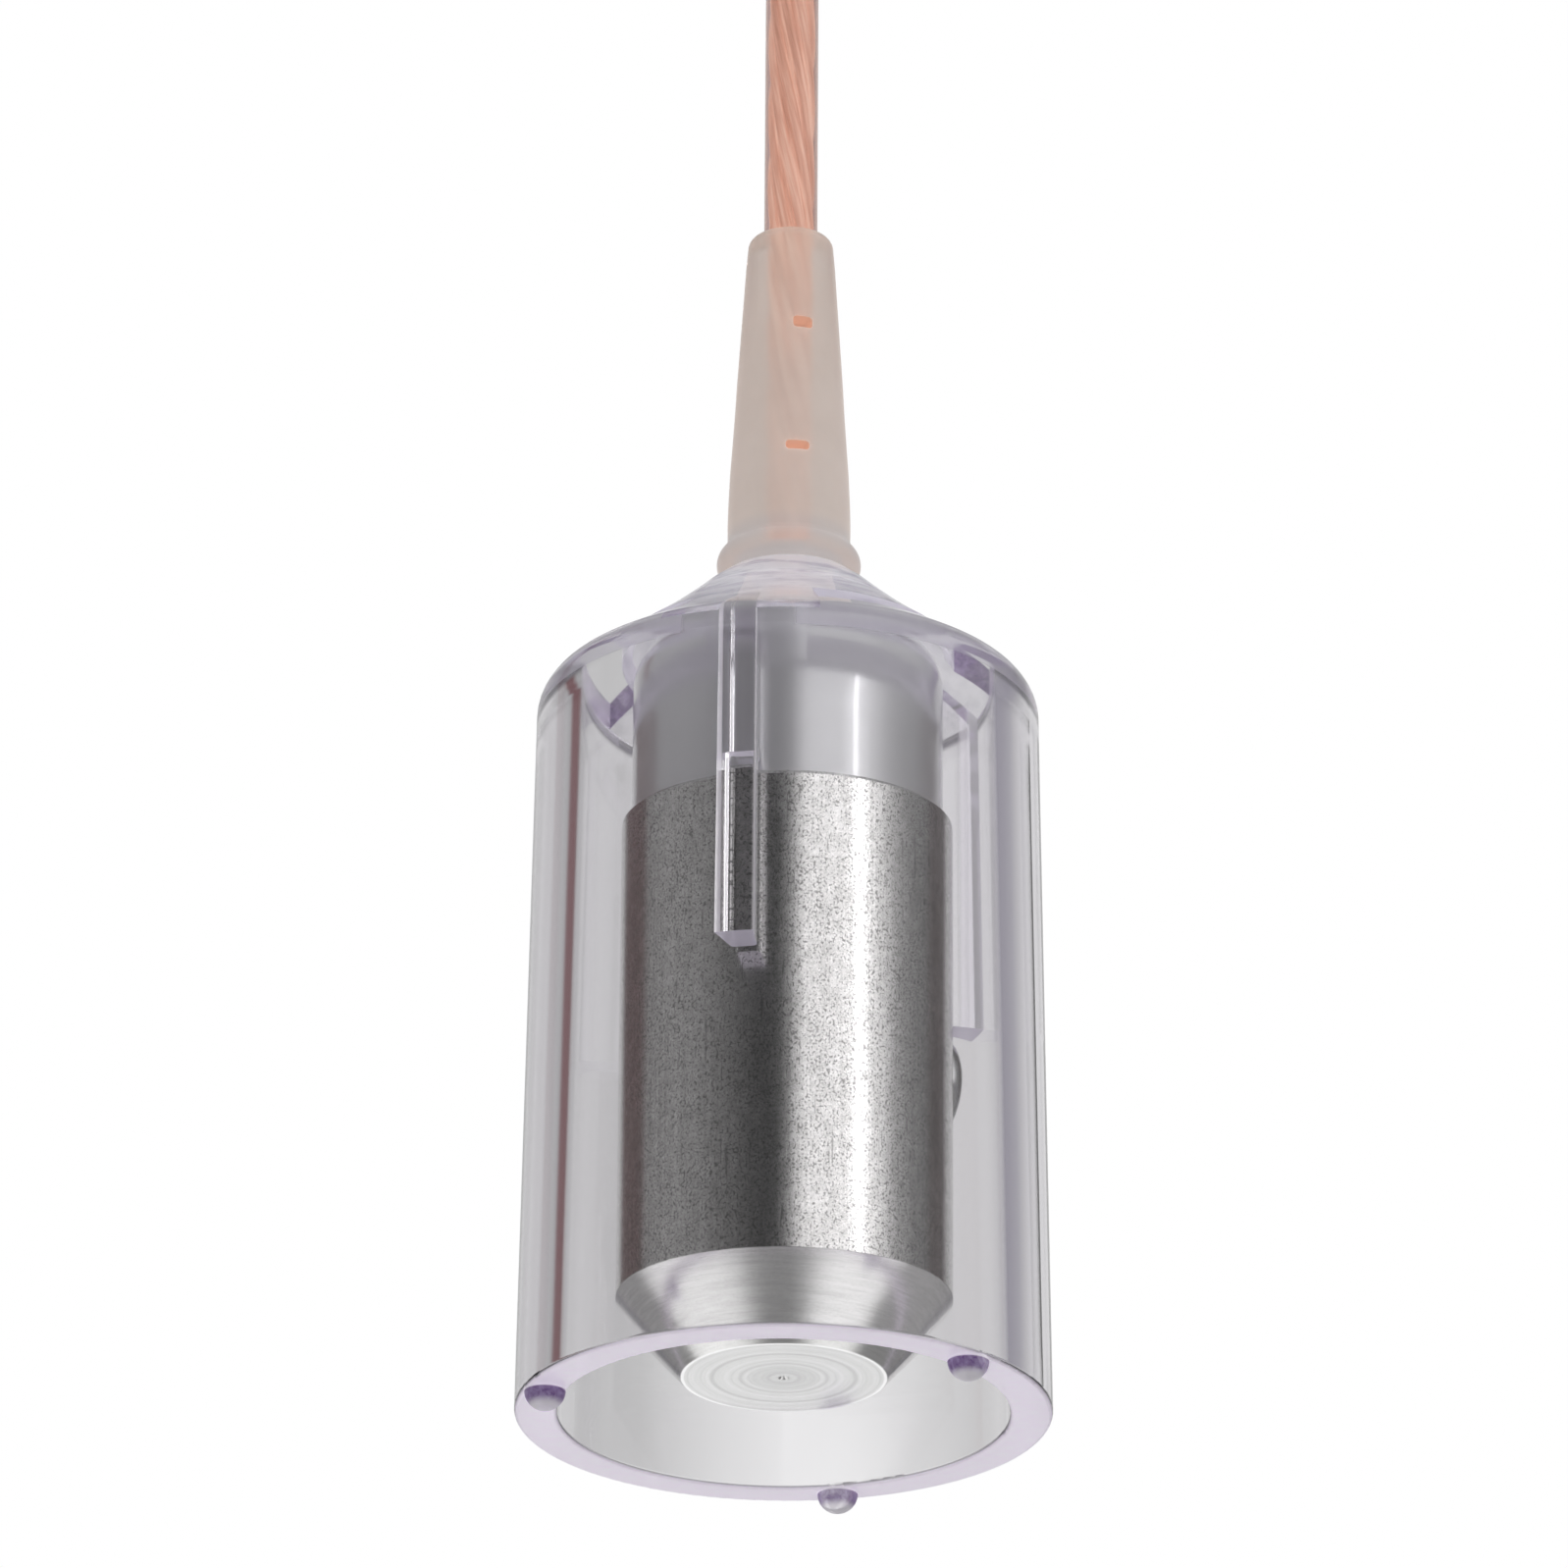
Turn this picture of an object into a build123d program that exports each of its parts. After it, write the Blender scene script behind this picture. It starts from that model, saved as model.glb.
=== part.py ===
from build123d import *
import os
from math import sin, cos, radians, sqrt, pi

os.makedirs("parts", exist_ok=True)

# ----------------------------------------------------------------------------
# Suspended level electrode: a turned steel electrode on a moulded holder, in a
# clear protective cup, hanging on its own cable from a cable gland.
#
# Frame: millimetres, +Z up. The origin is the seating plane of the gland's
# face ring on the gland axis, where the gland is fixed. The whole electrode
# hangs below it on the same vertical axis.
# Azimuths are counted from -Y (the front) towards +X, seen from above.
# Heights named h_... are counted up from the cup's rim plane.
# ----------------------------------------------------------------------------

# --- where the electrode hangs ----------------------------------------------
rim_z = -103.0                 # cup's rim plane below the gland's seat

# --- protective cup ----------------------------------------------------------
cup_rim_r = 13.5               # outer radius at the rim
cup_rim_bore_r = 11.35         # inner radius at the rim
h_shoulder = 38.93             # height of the outer wall's sharp top corner
cup_shoulder_r = 12.92         # outer radius there (draft about 0.9 degrees)
cup_shoulder_fillet = 2.0
h_ceiling = 38.75              # inner corner of wall and roof
cup_ceiling_r = 10.72
h_roof_mid, roof_mid_r = 41.90, 8.2     # outer roof is a slightly hollow cone
h_collar_foot, collar_foot_r = 45.0, 4.45
h_collar_top = 45.75        # the cone goes on up to the boot's foot
collar_top_r = 3.45
collar_bore_r = 2.95
roof_drop = 1.53               # vertical thickness of the roof
h_land = 43.55                 # narrow flat inside, round the neck hole
land_r = 4.1

rib_count = 3
rib_first_az = -13.0
rib_tip_r = 8.85
rib_root_r = 11.8
rib_tip_w = 1.25
rib_root_w = 2.1
h_rib_end = 21.5
rib_deep_r = 8.15              # above the steel the ribs reach in to the holder
rib_deep_w = 1.05
h_rib_step = 31.75

vent_half_span = 39.0          # each vent is an arc slot of 78 degrees
vent_inner_r = 8.6
foot_r = 1.05
foot_pitch_r = 12.42

# --- electrode ---------------------------------------------------------------
steel_r = 8.5
h_flat = 2.0
flat_r = 5.18
h_chamfer = 5.6
h_steel_top = 31.25
socket_r = 5.0
socket_depth = 7.0
wire_bore_r = 1.3
h_wire_bore_end = 13.0

# --- clamp screw, in the electrode's side -------------------------------------
screw_az = 110.0
h_screw = 18.3
screw_seat = 7.30              # distance of the head's seat from the axis
screw_head_r = 2.8
screw_head_h = 1.8
screw_shank_r = 1.5
screw_tip = 1.2                # distance of the shank's end from the axis

# --- conductor sleeve, cable --------------------------------------------------
conductor_r = 0.78
sleeve_r = 1.18
h_sleeve_low, h_sleeve_high = 14.2, 23.4
h_conductor_low = 14.2
sheath_r = 1.40
h_sheath_low = 27.0
sheath_top = 12.0              # above the gland's seat
conductor_top = 20.5
end_sleeve_r = 1.12

# --- insulating holder ----------------------------------------------------------
holder_r = 8.0
h_holder_side = 38.7
spigot_r = 4.97
h_spigot_low = 24.75
h_groove = 28.0
groove_floor_r = 4.0
ring_section_r = 0.52
neck_r = 2.95                  # a tight fit in the cup's neck hole
neck_tip_r = 2.6                # where the boot grips it
h_neck_tip = 47.0

# --- strain relief boot ----------------------------------------------------------
boot_top = 65.35
bead_r = 3.74

# --- cable gland --------------------------------------------------------------
gland_flats = 15.0
thread_r = 6.0
thread_len = 8.0
neck_groove_r = 5.6
ring_bore_r = 6.05             # passes over the thread
ring_t = 1.0


def around(az, r, z=0.0):
    """Point at an azimuth counted from -Y, at a radius and a height."""
    a = radians(az)
    return Vector(r * sin(a), -r * cos(a), z)


# ============================================================================
# Protective cup: one clear moulding. A tapered wall, a thin sloping roof with
# a short collar, three ribs down the inside, three arc-shaped vents in the
# roof between them, and three small round feet on the rim.
# ============================================================================

# The hollow of the cup, less the ribs that stand into it.
with BuildPart() as cup_hollow:
    with BuildSketch(Plane.XZ) as hollow_profile:
        with BuildLine():
            base = Line((0, rim_z - 1.0), (cup_rim_bore_r + 0.016, rim_z - 1.0))
            wall = Line(base @ 1, (cup_ceiling_r, rim_z + h_ceiling))
            roof = ThreePointArc(
                wall @ 1,
                (roof_mid_r, rim_z + h_roof_mid - roof_drop),
                (land_r, rim_z + h_land),
            )
            land = Line(roof @ 1, (0, rim_z + h_land))
            Line(land @ 1, base @ 0)
        make_face()
    revolve(axis=Axis.Z)
    for i in range(rib_count):
        az = rib_first_az + i * 360.0 / rib_count
        a = around(az, 1.0)
        for h, tip_r, tip_w in (
            (h_rib_end, rib_tip_r, rib_tip_w),
            (h_rib_step, rib_deep_r, rib_deep_w),
        ):
            rib_plane = Plane(
                origin=(0, 0, rim_z + h), x_dir=(a.X, a.Y, 0), z_dir=(0, 0, 1)
            )
            with BuildSketch(rib_plane) as rib_plan:
                with BuildLine():
                    Polyline(
                        (rib_root_r, -rib_root_w / 2),
                        (tip_r, -tip_w / 2),
                        (tip_r, tip_w / 2),
                        (rib_root_r, rib_root_w / 2),
                        close=True,
                    )
                make_face()
                fillet(rib_plan.vertices().sort_by(Axis.X)[:2], radius=0.25)
            extrude(amount=30.0, mode=Mode.SUBTRACT)

with BuildPart() as protective_cup:
    with BuildSketch(Plane.XZ) as cup_profile:
        with BuildLine():
            base = Line((0, rim_z), (cup_rim_r, rim_z))
            wall = Line(base @ 1, (cup_shoulder_r, rim_z + h_shoulder))
            roof = ThreePointArc(
                wall @ 1,
                (roof_mid_r, rim_z + h_roof_mid),
                (collar_foot_r, rim_z + h_collar_foot),
            )
            collar = Line(roof @ 1, (collar_top_r, rim_z + h_collar_top))
            top = Line(collar @ 1, (0, rim_z + h_collar_top))
            Line(top @ 1, base @ 0)
        make_face()
        shoulder = cup_profile.vertices().sort_by_distance(
            (cup_shoulder_r, rim_z + h_shoulder, 0)
        )[:1]
        fillet(shoulder, radius=cup_shoulder_fillet)
    revolve(axis=Axis.Z)
    add(cup_hollow.part, mode=Mode.SUBTRACT)
    # neck hole
    with BuildSketch(Plane.XY.offset(rim_z + h_land - 1.0)):
        Circle(collar_bore_r)
    extrude(amount=5.0, mode=Mode.SUBTRACT)
    # vents: arc slots against the wall, midway between the ribs
    with BuildSketch(Plane.XY.offset(rim_z + h_ceiling - 0.6)) as vent_plan:
        for i in range(rib_count):
            mid = rib_first_az + 60.0 + i * 360.0 / rib_count
            lo, hi = mid - vent_half_span, mid + vent_half_span
            with BuildLine():
                inner = ThreePointArc(
                    around(lo, vent_inner_r), around(mid, vent_inner_r), around(hi, vent_inner_r)
                )
                outer = ThreePointArc(
                    around(lo, cup_ceiling_r), around(mid, cup_ceiling_r), around(hi, cup_ceiling_r)
                )
                Line(inner @ 0, outer @ 0)
                Line(inner @ 1, outer @ 1)
            make_face()
    extrude(amount=5.0, mode=Mode.SUBTRACT)
    # soft edges on the rim, outside and inside
    rim_edges = (
        protective_cup.edges()
        .filter_by(GeomType.CIRCLE)
        .filter_by_position(Axis.Z, rim_z - 0.01, rim_z + 0.01)
    )
    fillet(rim_edges, radius=0.22)
    # round feet on the rim, in line with the vents
    with Locations(
        *[
            around(rib_first_az + 60.0 + i * 360.0 / rib_count, foot_pitch_r, rim_z)
            for i in range(rib_count)
        ]
    ):
        Sphere(foot_r)

# ============================================================================
# Electrode: turned from round stainless bar. Bevelled foot with a flat end
# and a centre mark, a socket for the holder's spigot, a bore for the
# conductor and a tapped side hole with a spot face for the clamp screw.
# ============================================================================
s_dir = around(screw_az, 1.0)
screw_plane = Plane(
    origin=(s_dir.X * screw_seat, s_dir.Y * screw_seat, rim_z + h_screw),
    x_dir=(0, 0, 1),
    z_dir=(s_dir.X, s_dir.Y, 0),
)

with BuildPart() as electrode_body:
    with BuildSketch(Plane.XZ):
        with BuildLine():
            Polyline(
                (0, rim_z + h_flat + 0.25),
                (0.28, rim_z + h_flat),
                (flat_r, rim_z + h_flat),
                (steel_r, rim_z + h_chamfer),
                (steel_r, rim_z + h_steel_top - 0.25),
                (steel_r - 0.25, rim_z + h_steel_top),
                (socket_r + 0.3, rim_z + h_steel_top),
                (socket_r, rim_z + h_steel_top - 0.3),
                (socket_r, rim_z + h_steel_top - socket_depth),
                (wire_bore_r, rim_z + h_steel_top - socket_depth),
                (wire_bore_r, rim_z + h_wire_bore_end),
                (0, rim_z + h_wire_bore_end - 0.7),
                close=True,
            )
        make_face()
    revolve(axis=Axis.Z)
    # spot face for the screw's head
    with BuildSketch(screw_plane):
        Circle(screw_head_r + 0.3)
    extrude(amount=3.0, mode=Mode.SUBTRACT)
    # screw hole, through to the conductor's bore
    with BuildSketch(screw_plane):
        Circle(screw_shank_r + 0.02)
    extrude(amount=-(screw_seat - 0.6), mode=Mode.SUBTRACT)

# Clamp screw: slotted pan head, plain shank pressed on the conductor sleeve.
with BuildPart() as clamp_screw:
    with BuildSketch(screw_plane):
        Circle(screw_head_r)
    extrude(amount=screw_head_h)
    fillet(
        clamp_screw.edges().sort_by(Axis((0, 0, 0), (s_dir.X, s_dir.Y, 0)))[-1:],
        radius=1.1,
    )
    with BuildSketch(screw_plane):
        Circle(screw_shank_r)
    extrude(amount=-(screw_seat - screw_tip))
    slot_plane = Plane(
        origin=(
            s_dir.X * (screw_seat + screw_head_h),
            s_dir.Y * (screw_seat + screw_head_h),
            rim_z + h_screw,
        ),
        x_dir=(0, 0, 1),
        z_dir=(s_dir.X, s_dir.Y, 0),
    )
    with BuildSketch(slot_plane.rotated((0, 0, 35))):
        Rectangle(8.0, 0.8)
    extrude(amount=-0.9, mode=Mode.SUBTRACT)

# Sleeve crimped on the conductor's end, under the clamp screw.
with BuildPart() as conductor_sleeve:
    with BuildSketch(Plane.XY.offset(rim_z + h_sleeve_low)):
        Circle(sleeve_r)
        Circle(conductor_r, mode=Mode.SUBTRACT)
    extrude(amount=h_sleeve_high - h_sleeve_low)

# ============================================================================
# Insulating holder: moulded body on the electrode's top. A spigot with a ring
# groove in the socket, a round-shouldered barrel, and a neck through the
# cup's collar into the boot.
# ============================================================================
with BuildPart() as insulating_holder:
    with BuildSketch(Plane.XZ) as holder_profile:
        with BuildLine():
            lower = Polyline(
                (sheath_r, rim_z + h_spigot_low),
                (spigot_r - 0.4, rim_z + h_spigot_low),
                (spigot_r, rim_z + h_spigot_low + 0.4),
                (spigot_r, rim_z + h_groove - 0.7),
                (groove_floor_r, rim_z + h_groove - 0.7),
                (groove_floor_r, rim_z + h_groove + 0.7),
                (spigot_r, rim_z + h_groove + 0.7),
                (spigot_r, rim_z + h_steel_top),
                (holder_r, rim_z + h_steel_top),
                (holder_r, rim_z + h_holder_side),
            )
            bend = TangentArc(
                lower @ 1,
                (holder_r - 1.75, rim_z + h_holder_side + 2.75),
                tangent=(0, 1),
            )
            Polyline(
                bend @ 1,
                (land_r - 0.1, rim_z + h_land),
                (neck_r, rim_z + h_land),
                (neck_r, rim_z + h_collar_top),
                (neck_tip_r, rim_z + h_collar_top),
                (neck_tip_r, rim_z + h_neck_tip),
                (sheath_r, rim_z + h_neck_tip),
                (sheath_r, rim_z + h_spigot_low),
            )
        make_face()
    revolve(axis=Axis.Z)

# Ring seal in the spigot's groove, squeezed flat against the socket wall.
with BuildPart() as holder_seal_ring:
    with BuildSketch(Plane.XZ) as seal_section:
        with Locations(((groove_floor_r + socket_r) / 2, rim_z + h_groove)):
            Rectangle(socket_r - groove_floor_r, 2 * ring_section_r)
        fillet(seal_section.vertices(), radius=0.4)
    revolve(axis=Axis.Z)

# ============================================================================
# Cable: stranded copper core, drawn here as one round rod, and a clear sheath.
# It rises straight from the boot into the gland.
# ============================================================================
with BuildPart() as cable_conductor:
    with BuildSketch(Plane.XY.offset(rim_z + h_conductor_low)):
        Circle(conductor_r)
    extrude(amount=conductor_top - (rim_z + h_conductor_low))

with BuildPart() as cable_sheath:
    with BuildSketch(Plane.XY.offset(rim_z + h_sheath_low)):
        Circle(sheath_r)
        Circle(conductor_r, mode=Mode.SUBTRACT)
    extrude(amount=sheath_top - (rim_z + h_sheath_low))

# Sleeve crimped on the stripped upper end, for the terminal.
with BuildPart() as wire_end_sleeve:
    with BuildSketch(Plane.XZ):
        with BuildLine():
            Polyline(
                (conductor_r, sheath_top),
                (sheath_r + 0.25, sheath_top),
                (sheath_r + 0.1, sheath_top + 0.5),
                (end_sleeve_r, sheath_top + 0.9),
                (end_sleeve_r, conductor_top),
                (conductor_r, conductor_top),
                close=True,
            )
        make_face()
    revolve(axis=Axis.Z)

# ============================================================================
# Strain relief boot: tapered, with a bead at its foot, moulded over the cable
# and the holder's neck. Two small core-pin windows on the front open to the
# sheath.
# ============================================================================
boot_side = [
    (3.19, 47.75), (3.18, 49.9), (3.09, 51.75), (2.97, 53.5), (2.86, 55.2),
    (2.77, 56.9), (2.66, 58.6), (2.55, 60.3), (2.44, 62.0), (2.33, 63.7),
    (2.24, 64.75),
]
with BuildPart() as strain_relief_boot:
    with BuildSketch(Plane.XZ) as boot_profile:
        with BuildLine():
            foot = Polyline(
                (sheath_r, rim_z + h_neck_tip),
                (neck_tip_r, rim_z + h_neck_tip),
                (neck_tip_r, rim_z + h_collar_top),
                (3.35, rim_z + h_collar_top),
            )
            bead = ThreePointArc(
                foot @ 1,
                (bead_r, rim_z + 46.65),
                (3.30, rim_z + 47.45),
            )
            flare = Line(bead @ 1, (3.19, rim_z + 47.75))
            side = Spline(
                *[(r, rim_z + h) for r, h in boot_side],
                tangents=[(0, 1), (-0.13, 1)],
            )
            crown = ThreePointArc(
                side @ 1, (2.08, rim_z + 65.17), (1.62, rim_z + boot_top)
            )
            Polyline(
                crown @ 1,
                (sheath_r, rim_z + boot_top),
                (sheath_r, rim_z + h_neck_tip),
            )
        make_face()
    revolve(axis=Axis.Z)
    # core-pin windows: azimuth, height, width, height of the opening
    for az, h, w, t in ((15.0, 59.5, 1.05, 0.70), (8.0, 52.2, 1.25, 0.55)):
        d = around(az, 1.0)
        win = Plane(
            origin=(d.X * sheath_r, d.Y * sheath_r, rim_z + h),
            x_dir=(0, 0, 1),
            z_dir=(d.X, d.Y, 0),
        )
        with BuildSketch(win):
            RectangleRounded(t, w, 0.2)
        extrude(amount=4.0, mode=Mode.SUBTRACT)

# ============================================================================
# Cable gland that carries the electrode: threaded body with a hexagon, face
# ring on its seat, seal insert round the cable, and cap nut below.
# ============================================================================
hex_r = gland_flats / 2 / cos(pi / 6)
with BuildPart() as gland_body:
    with BuildSketch(Plane.XY.offset(-ring_t - 5.0)) as hexagon:
        RegularPolygon(hex_r, 6)
    extrude(amount=5.0)
    # turned bevel on the hexagon's corners, both sides
    with BuildSketch(Plane.XZ) as bevel:
        with BuildLine():
            Polyline(
                (7.55, -ring_t - 6.0), (7.55, -ring_t - 5.0), (hex_r + 0.1, -ring_t - 4.3),
                (hex_r + 0.1, -ring_t - 0.7), (7.55, -ring_t), (7.55, 0.5),
                (10.0, 0.5), (10.0, -ring_t - 6.0), close=True,
            )
        make_face()
    revolve(axis=Axis.Z, mode=Mode.SUBTRACT)
    # threaded end, with a neck at its foot in which the face ring sits
    with BuildSketch(Plane.XY.offset(-ring_t)):
        Circle(neck_groove_r)
    extrude(amount=ring_t)
    with BuildSketch(Plane.XY):
        Circle(thread_r)
    extrude(amount=thread_len)
    with BuildSketch(Plane.XY.offset(-12.0)):
        Circle(5.6)
    extrude(amount=6.0)
    with BuildSketch(Plane.XY.offset(-12.0)):
        Circle(3.2)
    extrude(amount=12.0 + thread_len, mode=Mode.SUBTRACT)
    with BuildSketch(Plane.XY.offset(-12.0)):
        Circle(4.2)
    extrude(amount=6.5, mode=Mode.SUBTRACT)
    chamfer(
        gland_body.edges()
        .filter_by(GeomType.CIRCLE)
        .filter_by_position(Axis.Z, thread_len - 0.01, thread_len + 0.01)
        .sort_by(SortBy.RADIUS)[-1:],
        length=0.6,
    )

with BuildPart() as gland_face_ring:
    with BuildSketch(Plane.XY.offset(-ring_t)):
        Circle(7.3)
        Circle(ring_bore_r, mode=Mode.SUBTRACT)
    extrude(amount=ring_t)
    fillet(
        gland_face_ring.edges().filter_by(GeomType.CIRCLE).group_by(SortBy.RADIUS)[-1],
        radius=0.3,
    )

with BuildPart() as gland_seal_insert:
    with BuildSketch(Plane.XZ):
        with BuildLine():
            Polyline(
                (sheath_r, -14.3), (2.6, -14.3), (4.2, -12.1), (4.2, -5.5),
                (sheath_r, -5.5), close=True,
            )
        make_face()
    revolve(axis=Axis.Z)

with BuildPart() as gland_cap_nut:
    with BuildSketch(Plane.XY.offset(-13.0)):
        RegularPolygon(hex_r, 6)
    extrude(amount=6.7)
    with BuildSketch(Plane.XZ):
        with BuildLine():
            dome = Line((7.1, -13.0), (6.7, -14.4))
            crown = TangentArc(dome @ 1, (4.6, -17.0), tangent=(-0.25, -1))
            Polyline(
                crown @ 1, (0, -17.0), (0, -12.9), (7.1, -12.9), (7.1, -13.0),
            )
        make_face()
    revolve(axis=Axis.Z)
    with BuildSketch(Plane.XZ) as nut_bevel:
        with BuildLine():
            Polyline(
                (7.45, -13.4), (7.45, -13.0), (hex_r + 0.1, -12.3),
                (hex_r + 0.1, -7.0), (7.45, -6.3), (7.45, -5.9),
                (10.0, -5.9), (10.0, -13.4), close=True,
            )
        make_face()
    revolve(axis=Axis.Z, mode=Mode.SUBTRACT)
    # inside: room for the body's spigot, a cone on the seal insert, and the
    # cable's mouth
    with BuildSketch(Plane.XZ):
        with BuildLine():
            Polyline(
                (0, -17.1), (3.3, -17.1), (2.9, -16.5), (2.9, -14.9), (2.6, -14.3),
                (4.2, -12.1), (5.65, -12.1), (5.65, -6.2), (0, -6.2), close=True,
            )
        make_face()
    revolve(axis=Axis.Z, mode=Mode.SUBTRACT)

# ============================================================================
# Labels and files
# ============================================================================
pieces = {
    "protective_cup": protective_cup.part,
    "electrode_body": electrode_body.part,
    "clamp_screw": clamp_screw.part,
    "conductor_sleeve": conductor_sleeve.part,
    "insulating_holder": insulating_holder.part,
    "holder_seal_ring": holder_seal_ring.part,
    "cable_conductor": cable_conductor.part,
    "cable_sheath": cable_sheath.part,
    "wire_end_sleeve": wire_end_sleeve.part,
    "strain_relief_boot": strain_relief_boot.part,
    "gland_body": gland_body.part,
    "gland_face_ring": gland_face_ring.part,
    "gland_seal_insert": gland_seal_insert.part,
    "gland_cap_nut": gland_cap_nut.part,
}

protective_cup.part.label = "protective_cup"
export_step(protective_cup.part, "parts/protective_cup.step")
electrode_body.part.label = "electrode_body"
export_step(electrode_body.part, "parts/electrode_body.step")
clamp_screw.part.label = "clamp_screw"
export_step(clamp_screw.part, "parts/clamp_screw.step")
conductor_sleeve.part.label = "conductor_sleeve"
export_step(conductor_sleeve.part, "parts/conductor_sleeve.step")
insulating_holder.part.label = "insulating_holder"
export_step(insulating_holder.part, "parts/insulating_holder.step")
holder_seal_ring.part.label = "holder_seal_ring"
export_step(holder_seal_ring.part, "parts/holder_seal_ring.step")
cable_conductor.part.label = "cable_conductor"
export_step(cable_conductor.part, "parts/cable_conductor.step")
cable_sheath.part.label = "cable_sheath"
export_step(cable_sheath.part, "parts/cable_sheath.step")
wire_end_sleeve.part.label = "wire_end_sleeve"
export_step(wire_end_sleeve.part, "parts/wire_end_sleeve.step")
strain_relief_boot.part.label = "strain_relief_boot"
export_step(strain_relief_boot.part, "parts/strain_relief_boot.step")
gland_body.part.label = "gland_body"
export_step(gland_body.part, "parts/gland_body.step")
gland_face_ring.part.label = "gland_face_ring"
export_step(gland_face_ring.part, "parts/gland_face_ring.step")
gland_seal_insert.part.label = "gland_seal_insert"
export_step(gland_seal_insert.part, "parts/gland_seal_insert.step")
gland_cap_nut.part.label = "gland_cap_nut"
export_step(gland_cap_nut.part, "parts/gland_cap_nut.step")

for name, piece in pieces.items():
    bb = piece.bounding_box()
    print(f"{name:22s} solids {len(piece.solids())} volume {piece.volume:9.2f} mm3  z {bb.min.Z:8.2f} {bb.max.Z:8.2f}")
print("free cable length above the boot:", sheath_top - (rim_z + boot_top), "mm")
print("sheath volume / (section x length):",
      cable_sheath.part.volume / (pi * (sheath_r**2 - conductor_r**2) * (sheath_top - rim_z - h_sheath_low)))
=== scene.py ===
import math

import bmesh
import bpy
from mathutils import Matrix, Vector


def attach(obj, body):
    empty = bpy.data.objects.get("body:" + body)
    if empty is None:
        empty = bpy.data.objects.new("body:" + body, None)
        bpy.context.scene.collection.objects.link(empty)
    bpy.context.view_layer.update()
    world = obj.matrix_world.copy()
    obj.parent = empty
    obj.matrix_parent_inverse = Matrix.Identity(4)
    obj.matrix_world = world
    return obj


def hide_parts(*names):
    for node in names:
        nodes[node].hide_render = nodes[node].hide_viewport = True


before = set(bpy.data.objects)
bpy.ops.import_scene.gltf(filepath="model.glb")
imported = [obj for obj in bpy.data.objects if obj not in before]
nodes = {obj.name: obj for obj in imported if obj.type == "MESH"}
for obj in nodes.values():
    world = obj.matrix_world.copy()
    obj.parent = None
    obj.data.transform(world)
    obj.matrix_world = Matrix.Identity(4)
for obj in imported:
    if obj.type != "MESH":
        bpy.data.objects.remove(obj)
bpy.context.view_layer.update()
scene = bpy.context.scene

MM = 0.001
RIM = -103.0 * MM            # the cup's rim plane below the gland's seat
BOOT_TOP = RIM + 65.35 * MM
SHEATH_TOP = 12.0 * MM
LAY = 25 * MM                # length in which the wires go once round


# ---------------------------------------------------------------------------
# Camera: the photograph's angle, looking up at the electrode from below
# ---------------------------------------------------------------------------
def make_camera():
    el, roll = math.radians(-22.84), math.radians(0.36)
    target = Vector((-0.178 * MM, 0.0, RIM + 34.33 * MM))
    back = Vector((0.0, -math.cos(el), math.sin(el)))
    right = Vector((1.0, 0.0, 0.0))
    up = right.cross(-back)
    x = math.cos(roll) * right + math.sin(roll) * up
    y = -math.sin(roll) * right + math.cos(roll) * up
    cam = bpy.data.objects.new("camera", bpy.data.cameras.new("camera"))
    scene.collection.objects.link(cam)
    m = Matrix((x, y, back)).transposed().to_4x4()
    m.translation = target + back * 0.5
    cam.matrix_world = m
    cam.data.sensor_fit = "HORIZONTAL"
    cam.data.sensor_width = 36.0
    cam.data.lens = 9904.0 / 1598.0 * 36.0
    cam.data.clip_start, cam.data.clip_end = 0.01, 50.0
    scene.camera = cam


make_camera()


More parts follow.
